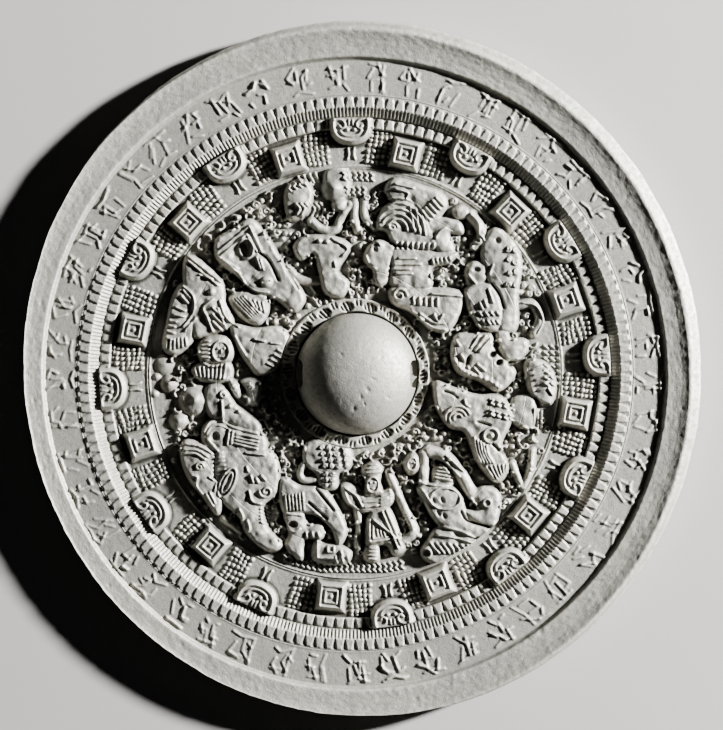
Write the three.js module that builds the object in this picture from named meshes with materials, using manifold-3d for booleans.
// An ancient cast bronze mirror, made in one pour. Its face below is polished and slightly convex.
// Its back above has a raised rim, rings of ornament, a field of figures in relief, and a boss that
// is pierced from side to side for a cord. It lies on its face.
// Millimetres, +Z up, origin at the middle of the disc on its underside.
import * as THREE from "three";
import { mergeVertices } from "three/addons/utils/BufferGeometryUtils.js";
import Module from "manifold-3d";

const wasm = await Module();
wasm.setup();

const { degToRad } = THREE.MathUtils;

// The disc is a little oval, and its pattern was stamped a little off its middle.
const DISC_RADIUS = 99.5;
const OVAL_SWELL = 1.38;
const OVAL_TURN = degToRad(102);
const PATTERN = new THREE.Vector2(-2.2, -1.4);
const DISC_SEGMENTS = 90;

// The convex face, with the flat spot that it rests on.
const FACE_FLAT_RADIUS = 30;
const FACE_RISE = 1.5;

// Levels of the back, from the field up to the crest of the rim.
const FIELD_LEVEL = 3.2;
const TOOTH_LEVEL = 4.0;
const BAND_LEVEL = 5.7;
const SHELF_LEVEL = 6.2;
const RIM_FOOT_LEVEL = 7.1;
const RIM_CREST_LEVEL = 8.2;
const RIM_EDGE_LEVEL = 6.3;

// Radii of the rings about the middle of the pattern.
const FIELD_RADIUS = 70.8;
const SLOPE_RADIUS = 74;
const SHELF_RADIUS = 77;
const BAND_INNER_RADIUS = 80.4;
const BAND_OUTER_RADIUS = 89.6;
const RIM_FOOT_RADIUS = 91.2;
const RIM_HOLLOW_RADIUS = 93.6;
const RIM_CREST_RADIUS = 97.2;

// The boss with its cord hole, and the beaded collar round it.
const BOSS_OFFSET = new THREE.Vector2(0.55, -0.2);
const BOSS_RADIUS = 17.6;
const BOSS_HEIGHT = 12;
const BOSS_FULLNESS = 2.3;
const CORD_HOLE_WIDTH = 8;
const CORD_HOLE_HEIGHT = 6;
const CORD_HOLE_CORNER = 2.5;
const COLLAR_RADIUS = 19.6;
const COLLAR_HALF_WIDTH = 1.8;
const COLLAR_HEIGHT = 0.5;
const COLLAR_NODES = 18;
const COLLAR_NODE_HEIGHT = 0.9;
const COLLAR_TURN = 12.5;

// The ring of blocks: half-rounds set against the slope, squares between them.
const HALF_ROUND_ANGLES = [-1, 28, 57.5, 86, 114.5, 142.5, 171, 203, 235.5, 266, 297.5, 328.5];
const HALF_ROUND_WIDTH = 11.4;
const HALF_ROUND_DEPTH = 6.8;
const HALF_ROUND_BACK_RADIUS = 73.8;
const HALF_ROUND_HEIGHT = 2.3;
const SQUARE_ANGLES = [13.5, 43.5, 71.5, 100, 129, 158, 186, 219.5, 251.5, 281.5, 312, 343];
const SQUARE_SIDE = 5.8;
const SQUARE_RADIUS = 65;
const SQUARE_HEIGHT = 2.4;
const SQUARE_LEAN = 1.7;

// Raised work has walls that lean out by this much, and its root reaches into the plate.
const WALL_LEAN = 0.75;
const ROOT_DEPTH = 0.5;

const solidOf = (geometry) => {
  geometry.deleteAttribute("normal");
  geometry.deleteAttribute("uv");
  const merged = mergeVertices(geometry, 1e-4);
  const vertProperties = Float32Array.from(merged.attributes.position.array);
  const triVerts = Uint32Array.from(merged.index.array);
  return new wasm.Manifold(new wasm.Mesh({ numProp: 3, vertProperties, triVerts }));
};

// A place on the back, by its angle clockwise from the top and its radius.
const place = (angle, radius) => {
  const turn = degToRad(angle);
  return new THREE.Vector2(radius * Math.sin(turn), radius * Math.cos(turn));
};

// The plate and rim: one turned profile, whose rings are then set off centre.
const discProfile = [
  // radius, height, share of the outer edge's shape
  [0, 0, 1],
  [FACE_FLAT_RADIUS, 0, 1],
  [66, 0.4 * FACE_RISE, 1],
  [DISC_RADIUS - 0.5, FACE_RISE, 1],
  [DISC_RADIUS, FACE_RISE + 0.6, 1],
  [DISC_RADIUS, RIM_EDGE_LEVEL, 1],
  [RIM_CREST_RADIUS, RIM_CREST_LEVEL, 0.5],
  [RIM_HOLLOW_RADIUS, RIM_FOOT_LEVEL + 0.1, 0.2],
  [RIM_FOOT_RADIUS, RIM_FOOT_LEVEL, 0],
  [BAND_OUTER_RADIUS, BAND_LEVEL, 0],
  [BAND_INNER_RADIUS, BAND_LEVEL, 0],
  [BAND_INNER_RADIUS - 0.4, SHELF_LEVEL, 0],
  [SHELF_RADIUS, SHELF_LEVEL, 0],
  [SLOPE_RADIUS, TOOTH_LEVEL, 0],
  [FIELD_RADIUS, TOOTH_LEVEL, 0],
  [FIELD_RADIUS - 0.5, FIELD_LEVEL, 0],
  [0, FIELD_LEVEL, 0],
];

const makeDisc = () => {
  const profile = discProfile.map(([radius, height]) => new THREE.Vector2(radius, height));
  const geometry = new THREE.LatheGeometry(profile, DISC_SEGMENTS);
  geometry.rotateX(Math.PI / 2);
  const position = geometry.attributes.position;
  for (let i = 0; i < position.count; i += 1) {
    const share = discProfile[i % profile.length][2];
    const x = position.getX(i);
    const y = position.getY(i);
    const swell = 1 + (OVAL_SWELL / DISC_RADIUS) * Math.cos(2 * (Math.atan2(y, x) - OVAL_TURN));
    const shiftedX = THREE.MathUtils.lerp(x + PATTERN.x, x * swell, share);
    const shiftedY = THREE.MathUtils.lerp(y + PATTERN.y, y * swell, share);
    position.setXY(i, shiftedX, shiftedY);
  }
  return solidOf(geometry);
};

// A closed smooth outline through a few corners.
const smoothOutline = (corners) => {
  const points = corners.map(([x, y]) => new THREE.Vector3(x, y, 0));
  const curve = new THREE.CatmullRomCurve3(points, true, "centripetal");
  return curve.getPoints(2 * corners.length).slice(0, -1).map(({ x, y }) => new THREE.Vector2(x, y));
};

// The outline of a strip of even width along a smooth line, with pointed round ends.
const stripOutline = (line, width) => {
  const points = line.map(([x, y]) => new THREE.Vector3(x, y, 0));
  const curve = new THREE.CatmullRomCurve3(points, false, "centripetal");
  const steps = 2 * (line.length - 1);
  const near = [];
  const far = [];
  for (let i = 0; i <= steps; i += 1) {
    const { x, y } = curve.getPoint(i / steps);
    const along = curve.getTangent(i / steps);
    near.push(new THREE.Vector2(x + along.y * width / 2, y - along.x * width / 2));
    far.unshift(new THREE.Vector2(x - along.y * width / 2, y + along.x * width / 2));
  }
  const start = curve.getPoint(0).addScaledVector(curve.getTangent(0), -width / 3);
  const end = curve.getPoint(1).addScaledVector(curve.getTangent(1), width / 3);
  return [...near, new THREE.Vector2(end.x, end.y), ...far, new THREE.Vector2(start.x, start.y)];
};

// How far a corner of an outline moves when its two edges both move out by one unit.
const cornerOut = (outline, i) => {
  const before = outline[(i + outline.length - 1) % outline.length];
  const here = outline[i];
  const after = outline[(i + 1) % outline.length];
  const first = new THREE.Vector2(here.y - before.y, before.x - here.x).normalize();
  const second = new THREE.Vector2(after.y - here.y, here.x - after.x).normalize();
  const middle = first.clone().add(second).normalize();
  return middle.divideScalar(Math.max(0.7, middle.dot(first)));
};

// Raised work with this outline at its top edge, on walls that lean out down to the level below.
const raised = (outline, height, lean = WALL_LEAN, level = FIELD_LEVEL) => {
  const ordered = THREE.ShapeUtils.isClockWise(outline) ? outline.slice().reverse() : outline;
  const geometry = new THREE.ExtrudeGeometry(new THREE.Shape(ordered), {
    depth: height + ROOT_DEPTH,
    bevelEnabled: false,
  });
  const position = geometry.attributes.position;
  for (let i = 0; i < position.count; i += 1) {
    if (position.getZ(i) > 0) {
      continue;
    }
    const x = position.getX(i);
    const y = position.getY(i);
    const corner = ordered.findIndex((point) => Math.hypot(point.x - x, point.y - y) < 1e-4);
    const out = cornerOut(ordered, corner);
    position.setXY(i, x + lean * out.x, y + lean * out.y);
  }
  geometry.translate(PATTERN.x, PATTERN.y, level - ROOT_DEPTH);
  return solidOf(geometry);
};

// A round-topped cone on the field.
const nipple = ([x, y], radius, height) => {
  const profile = [[0, 0], [radius, 0], [0.8 * radius, 0.45], [0.45 * radius, 0.86], [0, 1]];
  const points = profile.map(([r, share], i) => new THREE.Vector2(r, i === 0 ? -ROOT_DEPTH : share * height));
  points.splice(1, 0, new THREE.Vector2(radius, -ROOT_DEPTH));
  const geometry = new THREE.LatheGeometry(points, 14);
  geometry.rotateX(Math.PI / 2);
  geometry.translate(PATTERN.x + x, PATTERN.y + y, FIELD_LEVEL);
  return solidOf(geometry);
};

const makeHalfRound = (angle) => {
  const outline = [];
  const straight = HALF_ROUND_DEPTH - HALF_ROUND_WIDTH / 2;
  const middle = HALF_ROUND_BACK_RADIUS - straight;
  for (let turn = 0; turn <= 180; turn += 22.5) {
    const across = -Math.cos(degToRad(turn)) * HALF_ROUND_WIDTH / 2;
    const inward = Math.sin(degToRad(turn)) * HALF_ROUND_WIDTH / 2;
    outline.push(new THREE.Vector2(across, middle - inward));
  }
  outline.push(new THREE.Vector2(HALF_ROUND_WIDTH / 2, HALF_ROUND_BACK_RADIUS));
  outline.unshift(new THREE.Vector2(-HALF_ROUND_WIDTH / 2, HALF_ROUND_BACK_RADIUS));
  const origin = new THREE.Vector2();
  outline.forEach((point) => point.rotateAround(origin, -degToRad(angle)));
  return raised(outline, HALF_ROUND_HEIGHT);
};

const squareOutline = (angle, side) => {
  const across = place(angle + 90, side / 2);
  const out = place(angle, side / 2);
  const middle = place(angle, SQUARE_RADIUS);
  return [
    middle.clone().sub(across).sub(out),
    middle.clone().add(across).sub(out),
    middle.clone().add(across).add(out),
    middle.clone().sub(across).add(out),
  ];
};

const makeSquare = (angle) => {
  const block = raised(squareOutline(angle, SQUARE_SIDE), SQUARE_HEIGHT, SQUARE_LEAN);
  const seal = raised(squareOutline(angle, 0.5 * SQUARE_SIDE), SQUARE_HEIGHT + 0.45, 0.3);
  return block.add(seal);
};

// The collar is a low ring round the foot of the boss, with small lens-shaped nodes along it.
const makeCollarRing = () => {
  const inner = COLLAR_RADIUS - COLLAR_HALF_WIDTH;
  const outer = COLLAR_RADIUS + COLLAR_HALF_WIDTH;
  const below = [[inner, -ROOT_DEPTH], [outer, -ROOT_DEPTH]];
  const above = [[outer, COLLAR_HEIGHT], [inner, COLLAR_HEIGHT]];
  const profile = [...below, ...above, below[0]].map(([r, rise]) => new THREE.Vector2(r, rise));
  const geometry = new THREE.LatheGeometry(profile, 2 * COLLAR_NODES);
  geometry.rotateX(Math.PI / 2);
  geometry.translate(PATTERN.x, PATTERN.y, FIELD_LEVEL);
  return solidOf(geometry);
};

const makeCollarNode = (index) => {
  const pitch = 360 / COLLAR_NODES;
  const angle = COLLAR_TURN + index * pitch;
  const inner = COLLAR_RADIUS - COLLAR_HALF_WIDTH;
  const outer = COLLAR_RADIUS + COLLAR_HALF_WIDTH;
  const outline = [
    place(angle - 0.4 * pitch, COLLAR_RADIUS),
    place(angle - 0.15 * pitch, outer),
    place(angle + 0.15 * pitch, outer),
    place(angle + 0.4 * pitch, COLLAR_RADIUS),
    place(angle + 0.15 * pitch, inner),
    place(angle - 0.15 * pitch, inner),
  ];
  return raised(outline, COLLAR_NODE_HEIGHT, 0.3);
};

// The boss: a full dome, pierced from left to right just above the field.
const makeBoss = () => {
  const profile = [new THREE.Vector2(0, -ROOT_DEPTH), new THREE.Vector2(BOSS_RADIUS, -ROOT_DEPTH)];
  for (const share of [0, 0.22, 0.44, 0.63, 0.79, 0.91, 1]) {
    const rise = share * BOSS_HEIGHT;
    profile.push(new THREE.Vector2(BOSS_RADIUS * (1 - share ** 2) ** (1 / BOSS_FULLNESS), rise));
  }
  const geometry = new THREE.LatheGeometry(profile, 36);
  geometry.rotateX(Math.PI / 2);
  geometry.translate(PATTERN.x + BOSS_OFFSET.x, PATTERN.y + BOSS_OFFSET.y, FIELD_LEVEL);
  return solidOf(geometry);
};

const makeCordHole = () => {
  const half = CORD_HOLE_WIDTH / 2;
  const corner = CORD_HOLE_CORNER;
  const arch = new THREE.Shape();
  arch.moveTo(-half, 0);
  arch.lineTo(half, 0);
  arch.lineTo(half, CORD_HOLE_HEIGHT - corner);
  arch.absarc(half - corner, CORD_HOLE_HEIGHT - corner, corner, 0, Math.PI / 2);
  arch.absarc(corner - half, CORD_HOLE_HEIGHT - corner, corner, Math.PI / 2, Math.PI);
  arch.closePath();
  const length = 2 * BOSS_RADIUS + 0.6;
  const geometry = new THREE.ExtrudeGeometry(arch, { depth: length, bevelEnabled: false, curveSegments: 4 });
  geometry.translate(0, 0, -length / 2);
  geometry.rotateX(Math.PI / 2);
  geometry.rotateZ(Math.PI / 2);
  geometry.translate(PATTERN.x + BOSS_OFFSET.x, PATTERN.y + BOSS_OFFSET.y, FIELD_LEVEL + 0.02);
  return solidOf(geometry);
};

// The figures. Each form has its height over the field and the corners of its top edge, in
// millimetres right of and above the middle of the pattern. A limb has a centre line and a width.
const form = (height, corners) => raised(smoothOutline(corners), height);
const limb = (height, width, line) => raised(stripOutline(line, width), height, 0.5);

const beastAtTop = () => [
  // body with one straight leg, tail curled over its back, and two small hills behind it
  form(2.8, [[-17.5, 36.5], [-15, 39.3], [-6, 39.4], [-1.5, 36.8], [-5, 29.5], [-2, 26.3],
    [-3.5, 22.5], [-8.3, 23.3], [-10, 29], [-12, 34.8], [-15.5, 33]]),
  limb(2.2, 1.9, [[-12.5, 44], [-9, 41.5], [-5.5, 41.8], [-4, 45], [-1.5, 48.8]]),
  form(2.2, [[-6.2, 49.5], [-4.5, 50.6], [-2.4, 49.6], [-3, 47.4], [-5.6, 47.3]]),
  form(1.6, [[-8, 58.6], [-2.6, 59], [-1.6, 54], [-3.4, 50.8], [-7.8, 51.2]]),
  form(2.4, [[-19.8, 53], [-16, 56], [-12.6, 53.6], [-12.8, 49.3], [-15, 45.5], [-18.8, 44.5]]),
  limb(1.4, 1.9, [[-19.3, 30.2], [-16, 27.2], [-10.5, 26.8]]),
  nipple([-5.9, 53.4], 3.5, 3.1),
];

const framedFigure = () => [
  // a seated figure inside a pointed frame, a long staff down its right side, a pleated skirt
  form(2.8, [[-39.8, 38.8], [-35, 41.5], [-30.5, 44.4], [-27.6, 42.4], [-19.5, 29.6], [-14.6, 21.5],
    [-17.4, 18], [-22.4, 21.5], [-28.4, 23.4], [-33, 27.6], [-39.8, 33.3]]),
  form(2.2, [[-36.3, 21.2], [-34.2, 23.2], [-25.6, 22.6], [-25, 18.6], [-27.4, 14.4], [-31, 15]]),
];

const wingedFigure = () => [
  // shoulders, pleated wing, reaching arm, capped head, pleated sleeve and small cuffs
  form(2.6, [[-48.3, 34], [-38.6, 26.8], [-37.6, 21], [-35.2, 14.4], [-41.5, 11.4], [-46.2, 10.4],
    [-47.2, 17], [-49.4, 26]]),
  form(2.4, [[-52.3, 22.6], [-49.6, 26], [-46.8, 23.8], [-46.4, 17], [-47.6, 8.4], [-52.6, 5.4],
    [-55.2, 7.4], [-54.2, 14.5]]),
  form(2.6, [[-35.6, 13.8], [-28.6, 12.8], [-21.5, 13], [-19, 9.5], [-21.6, 4.8], [-26.4, 3.4],
    [-28.2, 0.6], [-30.6, 2.6], [-35, 9.6]]),
  form(3, [[-45.1, 7], [-43.2, 10.2], [-36.4, 10.2], [-34.9, 6.8], [-36, 3.6], [-44.2, 3.4]]),
  form(2.2, [[-47, 0.6], [-44.6, 2.9], [-36.2, 3], [-35.9, -1.6], [-44.2, -2]]),
  form(1.7, [[-36.2, -1.8], [-33.4, -3.6], [-33.6, -7], [-35.6, -4.6]]),
  form(1.8, [[-32.6, -2.2], [-28, -1.9], [-27.9, -9], [-30.6, -8.6], [-31, -5]]),
];

const hillsAtLeft = () => [
  nipple([-46.2, -8], 4.6, 3.2),
  nipple([-50.7, -13.7], 2.7, 1.9),
  nipple([-53.6, -3], 2.4, 1.9),
  nipple([-55, 2.4], 2.8, 1.2),
];

const wingedBeast = () => [
  // neck, bordered head, striped wing, body with its curled shoulder, and tail
  form(2.5, [[-43, -4.2], [-38.6, -3.7], [-34.6, -9], [-27.4, -15], [-28, -17.6], [-36, -14.6],
    [-42, -12.2]]),
  form(2.5, [[-44.2, -17.6], [-42, -13.9], [-36, -14.8], [-26.6, -17.8], [-25.8, -22], [-35, -23.2],
    [-43, -21.6]]),
  form(2.7, [[-50.2, -23.4], [-49.2, -19.6], [-43, -20.9], [-40.4, -23.6], [-40.6, -29.4],
    [-38.4, -37], [-39.6, -40.8], [-44, -35.4], [-48, -30.4]]),
  form(2.6, [[-40, -23], [-33.4, -22], [-26.6, -21.6], [-22.8, -24.4], [-22.6, -34.4],
    [-26.6, -38.4], [-25.4, -44.6], [-21, -49.8], [-24.4, -51.4], [-31.4, -46], [-33.4, -41.5],
    [-38.6, -36.4]]),
  limb(1.6, 1.6, [[-38, -42], [-35.6, -43.6], [-33.2, -45.4]]),
];

const robedFigure = () => [
  // curled hair, bent arm, robe with its cape, skirt and pedestal
  form(2.4, [[-13.6, -20.2], [-3.4, -20], [-1.2, -23], [-1.6, -27.4], [-4.8, -29], [-5.4, -33.4],
    [-9.6, -33], [-11, -29], [-14.6, -25.6]]),
  limb(2, 1.3, [[-14.8, -26.4], [-15.8, -29], [-14.8, -30.9], [-11.6, -30.8]]),
  form(2.8, [[-21, -30.4], [-15.5, -32.8], [-9.2, -33.4], [-4.6, -39.6], [-2.5, -46.2],
    [-4.6, -49.6], [-6.8, -44.6], [-13.4, -40.4], [-20.2, -40.6]]),
  form(2.4, [[-20.2, -40], [-14.8, -40.2], [-14.2, -43.9], [-9.2, -44], [-9.4, -47.6],
    [-14.6, -48], [-15.2, -53.8], [-20, -49.6], [-18.8, -46.6]]),
  form(2.2, [[-11.8, -53.8], [-11, -48.2], [-9.4, -49.3], [-4.6, -49.8], [-1.2, -51.8], [-2.2, -54.6]]),
];

const standingFigure = () => [
  // head, torso, pleated sleeve, two staffs, flared dress and feet
  form(2.7, [[2.2, -28], [5.4, -25.6], [7.8, -27.2], [7.2, -31.4], [7.8, -34.4], [3, -35.4],
    [3.4, -31]]),
  form(2.4, [[1.2, -36.4], [6, -35.6], [10.6, -33.4], [11.4, -36.6], [8.4, -39.4], [1.4, -39.8]]),
  form(2.2, [[-3.5, -32.4], [-1.4, -32.2], [2.8, -35.4], [2.6, -39.6], [-2.4, -37]]),
  limb(2, 1.4, [[0.6, -39.5], [1.4, -44], [0.8, -49.8]]),
  limb(2.3, 1.9, [[9.9, -28.8], [12.2, -34.4], [15.4, -41], [17.3, -46], [14.2, -48.4]]),
  form(2.5, [[3.8, -42], [7, -38.6], [9.6, -38.8], [13, -46.6], [14.2, -51], [11.4, -52.4],
    [9.4, -49.6], [3.6, -49.6]]),
  form(2, [[3.8, -49.4], [6.5, -49.4], [6.6, -54.3], [3.2, -54]]),
];

const bowingFigure = () => [
  // head, raised arms, round body, sleeve and shell-like train
  form(2.4, [[14.4, -26], [16.6, -23.2], [18.4, -24], [18.3, -28], [16, -29.2]]),
  limb(2.4, 2.4, [[20, -23.4], [20, -28], [20, -32.6]]),
  limb(2.6, 3, [[21.5, -22.6], [26.6, -24.4], [31, -29.6], [34.4, -35], [38, -37]]),
  form(1.6, [[23.4, -27], [26.6, -27], [28.6, -31.6], [22.8, -32]]),
  form(2.7, [[18.4, -33], [27, -32.4], [31, -36], [33, -42.2], [39, -45.4], [37.4, -48],
    [30, -46.2], [24.4, -43.8], [20, -37]]),
  form(2.4, [[34, -35.4], [37, -33], [41.6, -34.6], [41.4, -41], [40, -44.6], [33.2, -42],
    [31.8, -39.8], [35.6, -39.4]]),
  form(2.4, [[24.2, -44.6], [34.4, -47.2], [36, -50.6], [33, -54.6], [21, -54.2], [19.4, -51.4],
    [21.4, -48.4]]),
];

const drapedFigure = () => [
  // long body laid across, folded robe, hand, and a forked sash
  form(2.8, [[23.6, -4.4], [28, -4.6], [34, -6], [42.4, -6.9], [45.6, -12], [42.2, -21], [44.4, -27.6],
    [41.4, -31.4], [35.6, -25.6], [31.8, -16.8], [27.4, -15.4], [23.8, -9.6]]),
  form(2.2, [[46, -7.4], [51.8, -7.2], [52, -13], [50.6, -15.8], [45.4, -13.6]]),
  limb(2, 1.5, [[45.6, -26.2], [47, -29.6], [48.6, -33]]),
  limb(2, 1.5, [[48.8, -33], [50.8, -28], [51.4, -22.6]]),
];

const manedBeast = () => [
  // round head with a scalloped mane, neck, hind body and tail
  form(2.9, [[28, 5], [29.6, 11], [34, 11.2], [39.4, 11.2], [40.6, 6], [44.6, 2.6], [46.4, 0],
    [41.4, -5], [36, -2], [30, 0.4]]),
  form(2.4, [[41, 12.3], [44, 12.2], [45, 10], [49.4, 9.6], [49.6, 6], [44.6, 3.6], [42, 7]]),
  form(2.6, [[50, 3.6], [55, 3], [58, -2.4], [56.4, -9], [52, -7.2], [49.6, -0.8]]),
  limb(1.8, 2, [[47.6, 19.8], [51.6, 20], [53.6, 15.8], [52, 11.6]]),
];

const tallBeast = () => [
  // back, breast, jaw, head and reaching foreleg
  form(2.5, [[37.2, 38], [40.4, 42], [44.6, 39.8], [48, 33], [47, 23], [46.4, 12.6], [41.6, 12.6],
    [42.4, 19.4], [38.6, 27], [36.8, 34]]),
  form(2.8, [[32.2, 21], [32.2, 24.4], [38.8, 25.8], [42.6, 19], [41.4, 12.4], [37.6, 12.6],
    [35, 15]]),
  form(2.3, [[32.4, 30.4], [34.4, 32.2], [38.2, 31.2], [37.6, 26.8], [33, 25.4]]),
  form(2.4, [[28.8, 47.4], [31, 48.4], [33.2, 46.6], [31.6, 45], [29.2, 45.2]]),
  limb(2.2, 2.4, [[33.4, 46], [36.2, 42.6], [36.8, 38.6], [35, 36.8]]),
];

const fanFigure = () => [
  // fan of nested arcs, crest above it, torso, pleated body, bowl-shaped base and two ribbons
  form(2.7, [[6.4, 42.4], [7.4, 46], [10, 48.9], [15, 50], [20, 45.6], [23.6, 36.4], [11.2, 37.8],
    [9.4, 41]]),
  form(2.4, [[9, 53], [11.4, 56.2], [20, 54], [25, 52], [26.6, 48.8], [22, 43.6], [17, 49.4],
    [12, 49]]),
  form(2.6, [[4, 36.4], [7, 38.4], [11.4, 36.4], [10.4, 32], [9.2, 26], [6.2, 25.8], [5.4, 30],
    [3, 32.8]]),
  form(2.6, [[11, 36], [23.6, 35], [29.6, 34.6], [27.4, 32.2], [22.2, 30.6], [22, 25], [10.6, 25.6],
    [10.6, 31]]),
  form(2.4, [[10.4, 24.6], [22.2, 24.6], [31.2, 23], [30.4, 17.6], [26.6, 12.2], [22.8, 12.6],
    [16.4, 18], [11, 20.6]]),
  form(2.4, [[21, 44.2], [30.4, 43.6], [31.2, 40.6], [27.4, 40.4], [28.6, 35.4], [24, 35.4]]),
  limb(2, 1.9, [[0, 49.4], [-0.1, 45], [0.8, 41.6]]),
  limb(1.8, 1.8, [[2.6, 49.6], [2.8, 45.6], [6, 42.4]]),
];

const figures = [
  ...beastAtTop(), ...framedFigure(), ...wingedFigure(), ...hillsAtLeft(), ...wingedBeast(),
  ...robedFigure(), ...standingFigure(), ...bowingFigure(), ...drapedFigure(), ...manedBeast(),
  ...tallBeast(), ...fanFigure(),
];

const collar = Array.from({ length: COLLAR_NODES }, (_, index) => makeCollarNode(index));
const blocks = [...HALF_ROUND_ANGLES.map(makeHalfRound), ...SQUARE_ANGLES.map(makeSquare)];
const casting = [...blocks, ...figures, makeCollarRing(), ...collar, makeBoss()]
  .reduce((whole, raisedPart) => whole.add(raisedPart), makeDisc())
  .subtract(makeCordHole());

const meshOf = (solid) => {
  const { vertProperties, triVerts } = solid.getMesh();
  const geometry = new THREE.BufferGeometry();
  geometry.setAttribute("position", new THREE.BufferAttribute(vertProperties, 3));
  geometry.setIndex(new THREE.BufferAttribute(triVerts, 1));
  geometry.computeVertexNormals();
  return geometry;
};

const bronze = new THREE.MeshStandardMaterial({ color: 0xb9b8ae, roughness: 0.55, metalness: 0.6 });
const mirror = new THREE.Mesh(meshOf(casting), bronze);
mirror.name = "mirror";

const object = new THREE.Group();
object.add(mirror);
export default object;
